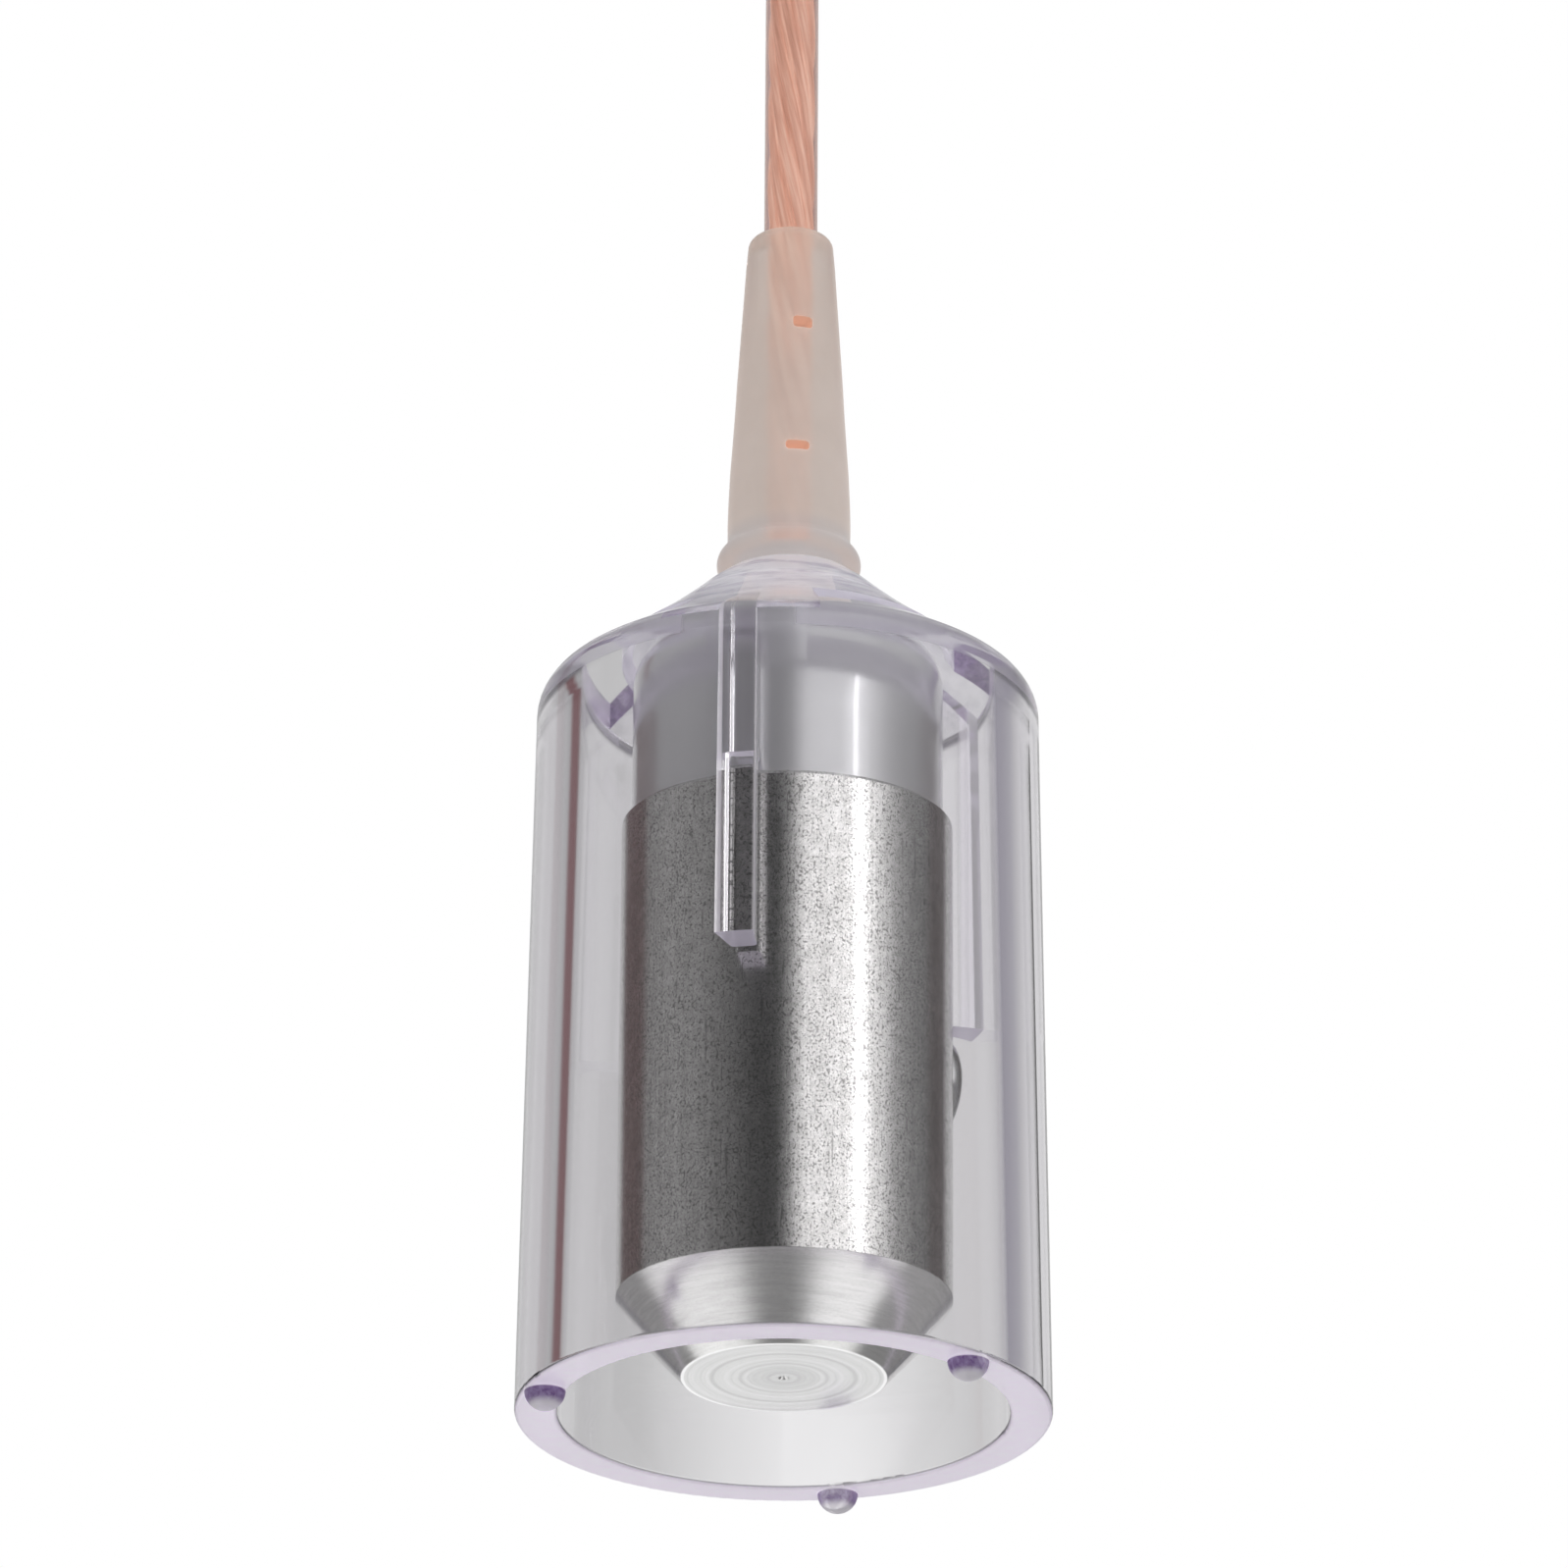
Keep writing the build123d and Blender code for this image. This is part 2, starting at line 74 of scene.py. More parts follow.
# ---------------------------------------------------------------------------
# Node helpers
# ---------------------------------------------------------------------------
class Nodes:
    def __init__(self, tree):
        self.t = tree
        self.x = 0

    def add(self, kind, **props):
        n = self.t.nodes.new(kind)
        self.x += 180
        n.location = (self.x, 0)
        for k, v in props.items():
            setattr(n, k, v)
        return n

    def link(self, a, b):
        self.t.links.new(a, b)

    def put(self, socket, value):
        if isinstance(value, bpy.types.NodeSocket):
            self.link(value, socket)
        else:
            socket.default_value = value

    def math(self, op, a, b=None, c=None, clamp=False):
        n = self.add("ShaderNodeMath", operation=op, use_clamp=clamp)
        for i, v in enumerate((a, b, c)):
            if v is not None:
                self.put(n.inputs[i], v)
        return n.outputs[0]

    def vmath(self, op, a, b=None):
        n = self.add("ShaderNodeVectorMath", operation=op)
        self.put(n.inputs[0], a)
        if b is not None:
            self.put(n.inputs[1], b)
        return n.outputs[0] if op not in ("LENGTH", "DOT_PRODUCT") else n.outputs[1]

    def ramp(self, fac, stops, mode="LINEAR"):
        n = self.add("ShaderNodeValToRGB")
        r = n.color_ramp
        r.interpolation = mode
        while len(r.elements) > 1:
            r.elements.remove(r.elements[-1])
        r.elements[0].position = stops[0][0]
        r.elements[0].color = (*stops[0][1], 1.0)
        for p, c in stops[1:]:
            e = r.elements.new(p)
            e.color = (*c, 1.0)
        self.put(n.inputs[0], fac)
        return n.outputs[0]

    def maprange(self, v, a, b, c=0.0, d=1.0, smooth=False):
        n = self.add("ShaderNodeMapRange")
        n.interpolation_type = "SMOOTHSTEP" if smooth else "LINEAR"
        for i, s in enumerate((v, a, b, c, d)):
            self.put(n.inputs[i], s)
        return n.outputs[0]

    def mix(self, fac, a, b, blend="MIX"):
        n = self.add("ShaderNodeMix", data_type="RGBA", blend_type=blend)
        self.put(n.inputs[0], fac)
        self.put(n.inputs[6], a)
        self.put(n.inputs[7], b)
        return n.outputs[2]

    def noise(self, vec, scale, detail=2.0, rough=0.5, dist=0.0):
        n = self.add("ShaderNodeTexNoise")
        self.put(n.inputs["Vector"], vec)
        n.inputs["Scale"].default_value = scale
        n.inputs["Detail"].default_value = detail
        n.inputs["Roughness"].default_value = rough
        n.inputs["Distortion"].default_value = dist
        return n.outputs["Fac"]

    def coords(self):
        return self.add("ShaderNodeTexCoord").outputs["Object"]

    def scaled(self, vec, s):
        n = self.add("ShaderNodeMapping")
        self.link(vec, n.inputs["Vector"])
        n.inputs["Scale"].default_value = s
        return n.outputs["Vector"]

    def xyz(self, vec):
        n = self.add("ShaderNodeSeparateXYZ")
        self.link(vec, n.inputs[0])
        return n.outputs

    def vec(self, x, y, z):
        n = self.add("ShaderNodeCombineXYZ")
        for i, v in enumerate((x, y, z)):
            self.put(n.inputs[i], v)
        return n.outputs[0]

    def bump(self, height, strength, distance):
        n = self.add("ShaderNodeBump")
        n.inputs["Strength"].default_value = strength
        n.inputs["Distance"].default_value = distance
        self.link(height, n.inputs["Height"])
        return n.outputs["Normal"]


def material(name):
    m = bpy.data.materials.new(name)
    m.use_nodes = True
    t = m.node_tree
    for n in list(t.nodes):
        t.nodes.remove(n)
    k = Nodes(t)
    out = k.add("ShaderNodeOutputMaterial")
    p = k.add("ShaderNodeBsdfPrincipled")
    k.link(p.outputs[0], out.inputs["Surface"])
    return m, k, p, out


def g(v):
    return (v, v, v)


# ---------------------------------------------------------------------------
# World: a soft studio. White to the eye, and seen in gloss and glass as a
# ring of pale cards with dark gaps between them.
# ---------------------------------------------------------------------------
def make_world():
    w = bpy.data.worlds.new("studio")
    scene.world = w
    w.use_nodes = True
    t = w.node_tree
    for n in list(t.nodes):
        t.nodes.remove(n)
    k = Nodes(t)
    out = k.add("ShaderNodeOutputWorld")
    d = k.add("ShaderNodeTexCoord").outputs["Generated"]
    x, y, z = k.xyz(k.vmath("NORMALIZE", d))
    az = k.math("ARCTAN2", x, k.math("MULTIPLY", y, -1.0))
    u = k.math("ADD", k.math("DIVIDE", az, 2 * math.pi), 0.5)

    def s(deg, v):
        c = v if isinstance(v, tuple) else g(v)
        return (deg / 360.0 + 0.5, tuple(a / 8.0 for a in c))

    left = k.ramp(
        u,
        [
            s(-180, 0.86), s(-178.2, 0.74), s(-176, 0.58), s(-170, 0.55), s(-164, 0.62),
            s(-152, 0.64), s(-144, 0.46), s(-139, (0.085, 0.04, 0.04)),
            s(-110, (0.085, 0.04, 0.04)), s(-105, 0.27), s(-98, 0.31),
            s(-80, 0.345), s(-62, 0.30), s(-48, 0.23), s(-34, 0.13), s(-20, 0.05),
            s(-15, 0.03), s(-4.5, 0.035), s(2, 0.28), s(7, 0.75),
        ],
    )
    right = k.ramp(
        u,
        [
            s(-4.5, 0.035), s(2, 0.28), s(7, 0.75), s(12, 1.32), s(40, 1.40),
            s(47, 1.42), s(47.7, 6.4), s(50.3, 6.4), s(51, 1.52), s(60, 1.30), s(66, 0.98),
            s(73, 0.58), s(80, 0.35), s(92, 0.20), s(106, 0.12), s(111, (0.035, 0.016, 0.016)),
            s(132, (0.035, 0.016, 0.016)), s(138, 0.46), s(150, 0.60), s(164, 0.66),
            s(173, 0.64), s(176.5, 0.72), s(178.5, 0.84), s(180, 0.90),
        ],
    )
    ring = k.mix(k.math("GREATER_THAN", az, 0.0), left, right)
    # what shows straight through the clear wall is softer than what the steel
    # and the holder mirror
    left = k.ramp(
        u,
        [
            s(-180, 0.86), s(-178.2, 0.73), s(-176, 0.56), s(-170, 0.54), s(-164, 0.62),
            s(-152, 0.62), s(-146, 0.51), s(-139, 0.43), s(-134, 0.38),
            s(-131.5, (0.15, 0.06, 0.065)), s(-126, (0.15, 0.06, 0.065)), s(-122.5, 0.33),
            s(-114, 0.38), s(-104, 0.41), s(-95, 0.42), s(-80, 0.38), s(-62, 0.32), s(-34, 0.20), s(2, 0.28),
        ],
    )
    right = k.ramp(
        u,
        [
            s(-5, 0.20), s(2, 0.28), s(12, 0.70), s(66, 0.66), s(80, 0.46), s(92, 0.48),
            s(106, 0.47), s(114, 0.39), s(122, (0.30, 0.29, 0.33)), s(130, (0.30, 0.29, 0.33)),
            s(137, (0.36, 0.355, 0.38)), s(143, 0.50), s(150, 0.66), s(164, 0.70),
            s(173, 0.64), s(176.5, 0.72), s(178.5, 0.84), s(180, 0.90),
        ],
    )
    soft = k.mix(k.math("GREATER_THAN", az, 0.0), left, right)
    lp = k.add("ShaderNodeLightPath")
    inner = k.math("MULTIPLY", k.math("GREATER_THAN", lp.outputs["Glossy Depth"], 0.5),
        k.math("GREATER_THAN", lp.outputs["Transmission Depth"], 3.5))
    ring = k.mix(inner, soft, ring)
    ring = k.vmath("SCALE", ring)
    ring.node.inputs["Scale"].default_value = 8.0
    low = k.maprange(z, 0.0, 0.14, 1.0, 0.0, True)
    high = k.maprange(z, 0.75, 0.95, 0.0, 1.0, True)
    over = k.math("MULTIPLY", k.maprange(z, 0.46, 0.58, 0.0, 1.0, True),
        k.math("MULTIPLY", k.maprange(k.math("ABSOLUTE", az), 2.72, 2.98, 0.0, 1.0, True), k.math("SUBTRACT", 1.0, inner)))
    c = k.mix(low, ring, (0.17, 0.165, 0.18, 1.0))
    c = k.mix(high, c, (0.6, 0.6, 0.6, 1.0))
    c = k.mix(over, c, (0.30, 0.295, 0.31, 1.0))
    lit = k.add("ShaderNodeBackground")
    k.link(c, lit.inputs[0])
    seen = k.add("ShaderNodeBackground")
    seen.inputs[0].default_value = (1.0, 1.0, 1.0, 1.0)
    mx = k.add("ShaderNodeMixShader")
    k.link(lp.outputs["Is Camera Ray"], mx.inputs[0])
    k.link(lit.outputs[0], mx.inputs[1])
    k.link(seen.outputs[0], mx.inputs[2])
    k.link(mx.outputs[0], out.inputs[0])


make_world()


# ---------------------------------------------------------------------------
# Materials
# ---------------------------------------------------------------------------
def clear_cup_material():
    m, k, p, out = material("clear_violet_moulding")
    p.inputs["Base Color"].default_value = (1.0, 1.0, 1.0, 1.0)
    p.inputs["Roughness"].default_value = 0.03
    p.inputs["IOR"].default_value = 1.58
    p.inputs["Transmission Weight"].default_value = 1.0
    v = k.add("ShaderNodeVolumeAbsorption")
    v.inputs["Color"].default_value = (0.50, 0.20, 0.72, 1.0)
    v.inputs["Density"].default_value = 11.0
    k.link(v.outputs[0], out.inputs["Volume"])
    # the rim's face, the ends of the vents and ribs and the feet are slightly
    # matt; their emission is a painted glow for the light that runs inside the wall
    o = k.coords()
    x, y, z = k.xyz(o)
    r = k.math("SQRT", k.math("ADD", k.math("MULTIPLY", x, x), k.math("MULTIPLY", y, y)))
    nx, ny, nz = k.xyz(k.add("ShaderNodeNewGeometry").outputs["True Normal"])
    nz = k.math("ABSOLUTE", nz)
    along = k.math("ABSOLUTE", k.math("DIVIDE",
        k.math("SUBTRACT", k.math("MULTIPLY", ny, x), k.math("MULTIPLY", nx, y)), r))
    az = k.math("ARCTAN2", x, k.math("MULTIPLY", y, -1.0))
    three = k.math("COSINE", k.math("SUBTRACT", k.math("MULTIPLY", az, 3.0), math.radians(141.0)))
    rim = k.math("MULTIPLY",
        k.maprange(z, RIM + 0.02 * MM, RIM + 0.20 * MM, 1.0, 0.0, True),
        k.maprange(z, RIM - 0.12 * MM, RIM - 0.04 * MM, 0.0, 1.0, True))
    feet = k.maprange(z, RIM - 0.12 * MM, RIM - 0.04 * MM, 1.0, 0.0, True)
    slot = k.math("MULTIPLY",
        k.maprange(z, RIM + 38.15 * MM, RIM + 38.25 * MM, 0.0, 1.0),
        k.math("MULTIPLY",
            k.maprange(nz, 0.30, 0.40, 1.0, 0.0),
            k.math("MULTIPLY",
                k.maprange(r, 8.45 * MM, 8.50 * MM, 0.0, 1.0),
                k.math("MULTIPLY",
                    k.maprange(r, 10.85 * MM, 10.95 * MM, 1.0, 0.0),
                    k.maprange(three, -0.75, -0.70, 0.0, 1.0)))))
    ends = k.math("MULTIPLY", slot, k.maprange(along, 0.75, 0.85, 0.0, 1.0))
    arcs = k.math("SUBTRACT", slot, ends, clamp=True)
    rib = k.math("MULTIPLY", k.maprange(three, -0.93, -0.90, 1.0, 0.0),
        k.math("MULTIPLY", k.maprange(r, 11.0 * MM, 11.1 * MM, 1.0, 0.0),
            k.maprange(z, RIM + 21.42 * MM, RIM + 21.46 * MM, 0.0, 1.0)))
    level = k.math("ADD", k.maprange(z, RIM + 21.54 * MM, RIM + 21.58 * MM, 1.0, 0.0),
        k.math("MULTIPLY", k.maprange(z, RIM + 31.68 * MM, RIM + 31.72 * MM, 0.0, 1.0), k.maprange(z, RIM + 31.78 * MM, RIM + 31.82 * MM, 1.0, 0.0)))
    rib_end = k.math("MULTIPLY", k.math("MULTIPLY", rib, k.maprange(nz, 0.5, 0.6, 0.0, 1.0)), level)
    rib_side = k.math("MULTIPLY", rib,
        k.math("MULTIPLY", k.maprange(along, 0.75, 0.85, 0.0, 1.0), k.maprange(r, 9.7 * MM, 10.1 * MM, 0.0, 1.0, True)))
    roof = k.math("MULTIPLY", k.maprange(z, RIM + 38.3 * MM, RIM + 39.6 * MM, 0.0, 1.0, True), k.math("SUBTRACT", 1.0, slot, clamp=True))
    # paler on the cone round the neck, clearer over the holder; the roof's streaks carry a painted glow
    cone = k.maprange(r, 5.6 * MM, 7.0 * MM, 1.0, 0.0, True)
    streak = k.noise(k.vec(k.math("MULTIPLY", x, 0.12), k.math("MULTIPLY", y, 0.12), k.math("ADD", z, k.math("MULTIPLY", r, 0.3))), 2600.0, 3.0, 0.6)
    tone = k.noise(o, 1400.0, 3.0, 0.6)
    spots = k.noise(o, 2600.0, 3.0, 0.6, 0.6)
    frost_with_painted_glow = k.add("ShaderNodeBsdfPrincipled")
    # painted shade: the vent ends are given a dark, speckled violet
    fc = k.mix(ends, (0.84, 0.78, 0.88, 1.0), k.ramp(spots, [(0.36, (0.20, 0.10, 0.32)), (0.62, (0.46, 0.32, 0.62))]))
    fc = k.mix(arcs, fc, (0.72, 0.70, 0.77, 1.0))
    fc = k.mix(k.maprange(tone, 0.35, 0.7, 0.0, 0.22), fc, (1.0, 1.0, 1.0, 1.0))
    fc = k.mix(roof, fc, k.ramp(streak, [(0.36, (0.58, 0.54, 0.66)), (0.52, (0.93, 0.92, 0.96))]))
    # painted shade and highlight on the feet: dark violet where they meet the rim, pale towards the tips
    deep = k.ramp(spots, [(0.34, (0.24, 0.12, 0.38)), (0.62, (0.58, 0.46, 0.76))])
    tip = k.maprange(z, RIM - 0.90 * MM, RIM - 0.50 * MM, 1.0, 0.0, True)
    deep = k.mix(tip, deep, (0.93, 0.90, 0.96, 1.0))
    fc = k.mix(feet, fc, deep)
    k.link(fc, frost_with_painted_glow.inputs["Base Color"])
    frost_with_painted_glow.inputs["Roughness"].default_value = 0.3
    frost_with_painted_glow.inputs["IOR"].default_value = 1.58
    # painted glow: the rim's face is given emission, the same all round, for the light the wall pipes to it
    painted_glow = k.mix(rim, (0.0, 0.0, 0.0, 1.0), (0.34, 0.31, 0.365, 1.0))
    # painted glow in pale streaks over the roof
    painted_glow = k.mix(roof, painted_glow, k.ramp(streak, [(0.36, (0.11, 0.10, 0.145)), (0.50, (0.42, 0.415, 0.435))]))
    # painted glow on the vents' arcs and the ribs' ends and sides, dimmed at the vent ends
    painted_glow = k.mix(k.math("MAXIMUM", arcs, rib_end), painted_glow, (0.22, 0.205, 0.25, 1.0))
    painted_glow = k.mix(rib_side, painted_glow, (0.50, 0.49, 0.52, 1.0))
    painted_glow = k.mix(ends, painted_glow, (0.04, 0.025, 0.06, 1.0))
    # painted highlight: the feet's tips glow pale, their roots only faintly
    painted_glow = k.mix(feet, painted_glow, k.mix(tip, (0.05, 0.03, 0.075, 1.0), (0.42, 0.40, 0.44, 1.0)))
    k.link(painted_glow, frost_with_painted_glow.inputs["Emission Color"])
    frost_with_painted_glow.inputs["Emission Strength"].default_value = 1.0
    # the feet are deepest in colour where they meet the rim, where most of the painted violet shade shows
    dip = k.math("MULTIPLY", feet, k.maprange(z, RIM - 0.95 * MM, RIM - 0.45 * MM, 0.50, 0.70, True))
    amount = k.math("ADD", k.math("MULTIPLY", rim, 0.86), k.math("MULTIPLY", ends, 0.72))
    amount = k.math("ADD", amount, k.math("MULTIPLY", arcs, 0.42))
    amount = k.math("ADD", amount, k.math("ADD", k.math("MULTIPLY", rib_end, 0.72), k.math("MULTIPLY", rib_side, 0.42)))
    amount = k.math("ADD", amount, k.math("MULTIPLY", roof, k.math("ADD", 0.20, k.math("MULTIPLY", cone, 0.14))))
    amount = k.math("ADD", amount, dip, clamp=True)
    mx = k.add("ShaderNodeMixShader")
    k.link(amount, mx.inputs[0])
    k.link(p.outputs[0], mx.inputs[1])
    k.link(frost_with_painted_glow.outputs[0], mx.inputs[2])
    k.link(mx.outputs[0], out.inputs["Surface"])
    return m


def steel_material():
    m, k, p, out = material("turned_stainless_bar")
    p.inputs["Metallic"].default_value = 1.0
    o = k.coords()
    x, y, z = k.xyz(o)
    r = k.math("SQRT", k.math("ADD", k.math("MULTIPLY", x, x), k.math("MULTIPLY", y, y)))
    flat = k.maprange(z, RIM + 2.00 * MM, RIM + 2.06 * MM, 1.0, 0.0)
    bevel = k.math(
        "SUBTRACT", k.maprange(z, RIM + 5.55 * MM, RIM + 5.60 * MM, 1.0, 0.0), flat, clamp=True
    )
    side = k.math("SUBTRACT", 1.0, k.math("ADD", flat, bevel), clamp=True)
    # drawn lines along the bar, and fine pits
    lines = k.noise(k.scaled(o, (1.0, 1.0, 0.02)), 5200.0, 4.0, 0.65)
    wide = k.noise(k.scaled(o, (1.0, 1.0, 0.05)), 900.0, 3.0, 0.6)
    thick = k.noise(o, 420.0, 3.0, 0.6)
    pits = k.math("ADD", k.noise(k.scaled(o, (1.0, 1.0, 0.75)), 9500.0, 1.5, 0.6),
        k.math("MULTIPLY", k.math("SUBTRACT", thick, 0.5), 0.14))
    pit = k.maprange(pits, 0.555, 0.625, 0.0, 1.0, True)
    scores = k.noise(k.scaled(o, (1.0, 1.0, 0.06)), 6400.0, 2.0, 0.6)
    score = k.maprange(scores, 0.66, 0.72, 0.0, 1.0, True)
    grain = k.noise(o, 11000.0, 2.0, 0.7)
    mott = k.noise(o, 1500.0, 2.0, 0.6)
    # rings left by facing the end and turning the bevel
    rw = k.math("ADD", r, k.math("MULTIPLY", k.noise(o, 500.0, 2.0), 0.00006))
    rings = k.noise(k.vec(rw, 0.0, 0.0), 2900.0, 2.0, 0.55)
    fine = k.noise(k.vec(r, 0.0, 0.0), 9000.0, 3.0, 0.7)
    zr = k.noise(k.scaled(o, (0.05, 0.05, 1.0)), 7000.0, 3.0, 0.7)
    side_h = k.math("SUBTRACT", k.math("ADD", k.math("MULTIPLY", lines, 0.38), k.math("MULTIPLY", wide, 0.40)),
        k.math("ADD", k.math("MULTIPLY", pit, 0.20), k.math("MULTIPLY", score, 0.15)))
    face_h = k.math("ADD", k.math("MULTIPLY", rings, 1.2), k.math("MULTIPLY", fine, 0.6))
    bevel_h = k.math("MULTIPLY", zr, 0.8)
    h = k.math("ADD", k.math("MULTIPLY", side_h, side), k.math("ADD", k.math("MULTIPLY", face_h, flat), k.math("MULTIPLY", bevel_h, bevel)))
    k.link(k.bump(h, 0.30, 0.000016), p.inputs["Normal"])
    base = k.ramp(
        k.math("ADD", k.math("MULTIPLY", lines, 0.5), k.math("MULTIPLY", mott, 0.5)),
        [(0.30, (0.44, 0.435, 0.42)), (0.55, (0.64, 0.635, 0.62)), (0.75, (0.82, 0.815, 0.80))],
    )
    base = k.mix(k.maprange(grain, 0.42, 0.62, 0.0, 0.40, True), base, (0.92, 0.915, 0.90, 1.0))
    dark = k.math("MAXIMUM", k.math("MULTIPLY", pit, 0.74), k.math("MULTIPLY", score, 0.55))
    base = k.mix(k.math("MULTIPLY", dark, side), base, (0.12, 0.115, 0.11, 1.0))
    facing = k.ramp(rings, [(0.36, (0.76, 0.76, 0.755)), (0.50, (0.93, 0.93, 0.925)), (0.62, (1.0, 1.0, 1.0))])
    facing = k.mix(k.maprange(r, 1.0 * MM, 2.4 * MM, 0.28, 0.0, True), facing, (0.55, 0.55, 0.55, 1.0))
    # painted highlight: a white ring with a faint glow round the flat's outer edge
    painted_edge_highlight = k.math("MULTIPLY", flat, k.maprange(r, 4.98 * MM, 5.06 * MM, 0.0, 1.0))
    facing = k.mix(painted_edge_highlight, facing, (1.0, 1.0, 1.0, 1.0))
    k.link(k.mix(painted_edge_highlight, (0.0, 0.0, 0.0, 1.0), (0.16, 0.16, 0.16, 1.0)), p.inputs["Emission Color"])
    p.inputs["Emission Strength"].default_value = 1.0
    turned = k.ramp(k.math("ADD", k.math("MULTIPLY", zr, 0.6), k.math("MULTIPLY", grain, 0.4)),
        [(0.38, (0.80, 0.795, 0.785)), (0.60, (0.98, 0.975, 0.965))])
    base = k.mix(flat, base, facing)
    base = k.mix(bevel, base, turned)
    k.link(base, p.inputs["Base Color"])
    rough = k.math("ADD", k.math("MULTIPLY", side, 0.17), k.math("ADD", k.math("MULTIPLY", flat, 0.24), k.math("MULTIPLY", bevel, 0.20)))
    rough = k.math("ADD", rough, k.math("MULTIPLY", k.math("SUBTRACT", mott, 0.5), 0.06))
    k.link(rough, p.inputs["Roughness"])
    return m


def holder_material():
    m, k, p, out = material("silver_grey_holder")
    o = k.coords()
    tone = k.noise(o, 260.0, 2.0)
    c = k.ramp(tone, [(0.3, (0.90, 0.905, 0.915)), (0.7, (0.95, 0.955, 0.965))])
    k.link(c, p.inputs["Base Color"])
    p.inputs["Metallic"].default_value = 0.32
    # painted glow: the neck is made pale with emission, for the light the clear cup and the milky boot bring to it
    z = k.xyz(o)[2]
    lit = k.maprange(z, RIM + 43.2 * MM, RIM + 43.8 * MM, 0.0, 1.0, True)
    k.link(k.mix(lit, (0.0, 0.0, 0.0, 1.0), (0.09, 0.09, 0.093, 1.0)), p.inputs["Emission Color"])
    p.inputs["Emission Strength"].default_value = 1.0
    p.inputs["Roughness"].default_value = 0.30
    p.inputs["IOR"].default_value = 1.5
    p.inputs["Coat Weight"].default_value = 1.0
    p.inputs["Coat Roughness"].default_value = 0.06
    p.inputs["Coat IOR"].default_value = 1.8
    lines = k.noise(k.scaled(o, (1.0, 1.0, 0.03)), 2500.0, 2.0)
    k.link(k.bump(lines, 0.10, 0.00001), p.inputs["Normal"])
    return m


def boot_material():
    m, k, p, out = material("milky_boot")
    o = k.coords()
    x, y, z = k.xyz(o)
    r = k.math("SQRT", k.math("ADD", k.math("MULTIPLY", x, x), k.math("MULTIPLY", y, y)))
    tone = k.noise(o, 400.0, 3.0)
    c = k.ramp(tone, [(0.3, (0.44, 0.42, 0.40)), (0.7, (0.49, 0.47, 0.45))])
    high = k.maprange(z, RIM + 47.0 * MM, RIM + 65.0 * MM)
    p.inputs["Roughness"].default_value = 0.42
    p.inputs["IOR"].default_value = 1.45
    p.inputs["Subsurface Weight"].default_value = 0.7
    p.inputs["Subsurface Radius"].default_value = (1.0, 0.8, 0.7)
    p.inputs["Subsurface Scale"].default_value = 0.0012
    # painted glow: emission stands in for the light from all round that glows in the milky material,
    # most in the thin windows, which are down to the copper-coloured cable
    side = k.math("ADD", k.math("MULTIPLY", z, -0.0632), (3.09 - 0.05 + 0.0632 * 51.75) * MM + 0.0632 * RIM)
    well = k.math("MULTIPLY", k.maprange(k.math("SUBTRACT", side, r), 0.0, 0.08 * MM, 0.0, 1.0),
        k.math("MULTIPLY", k.maprange(z, RIM + 50.0 * MM, RIM + 50.2 * MM, 0.0, 1.0),
            k.maprange(z, RIM + 61.8 * MM, RIM + 62.0 * MM, 1.0, 0.0)))
    c = k.mix(well, c, (0.58, 0.41, 0.34, 1.0))
    k.link(c, p.inputs["Base Color"])
    # painted glow, varying with height, copper-tinted in the windows
    painted_boot_glow = k.mix(high, (0.35, 0.295, 0.265, 1.0), (0.33, 0.265, 0.228, 1.0))
    painted_boot_glow = k.mix(k.maprange(z, RIM + 47.6 * MM, RIM + 48.6 * MM, 1.0, 0.0, True), painted_boot_glow, (0.29, 0.265, 0.262, 1.0))
    painted_boot_glow = k.mix(well, painted_boot_glow, (0.31, 0.185, 0.135, 1.0))
    k.link(painted_boot_glow, p.inputs["Emission Color"])
    p.inputs["Emission Strength"].default_value = 1.0
    bump = k.bump(k.noise(o, 1600.0, 3.0), 0.12, 0.00002)
    k.link(bump, p.inputs["Normal"])
    clear = k.add("ShaderNodeBsdfPrincipled")
    clear.inputs["Base Color"].default_value = (1.0, 0.96, 0.94, 1.0)
    clear.inputs["Roughness"].default_value = 0.30
    clear.inputs["IOR"].default_value = 1.45
    clear.inputs["Transmission Weight"].default_value = 1.0
    k.link(bump, clear.inputs["Normal"])
    # thinner, so clearer, towards the top and over the holder's neck
    see = k.ramp(
        k.maprange(z, RIM + 45.0 * MM, RIM + 65.5 * MM),
        [(0.0, g(0.50)), (0.07, g(0.42)), (0.15, g(0.14)), (0.55, g(0.18)), (0.80, g(0.38)), (1.0, g(0.52))],
    )
    see = k.math("MULTIPLY", see, k.math("SUBTRACT", 1.0, well))
    mx = k.add("ShaderNodeMixShader")
    k.link(see, mx.inputs[0])
    k.link(p.outputs[0], mx.inputs[1])
    k.link(clear.outputs[0], mx.inputs[2])
    k.link(mx.outputs[0], out.inputs["Surface"])
    return m


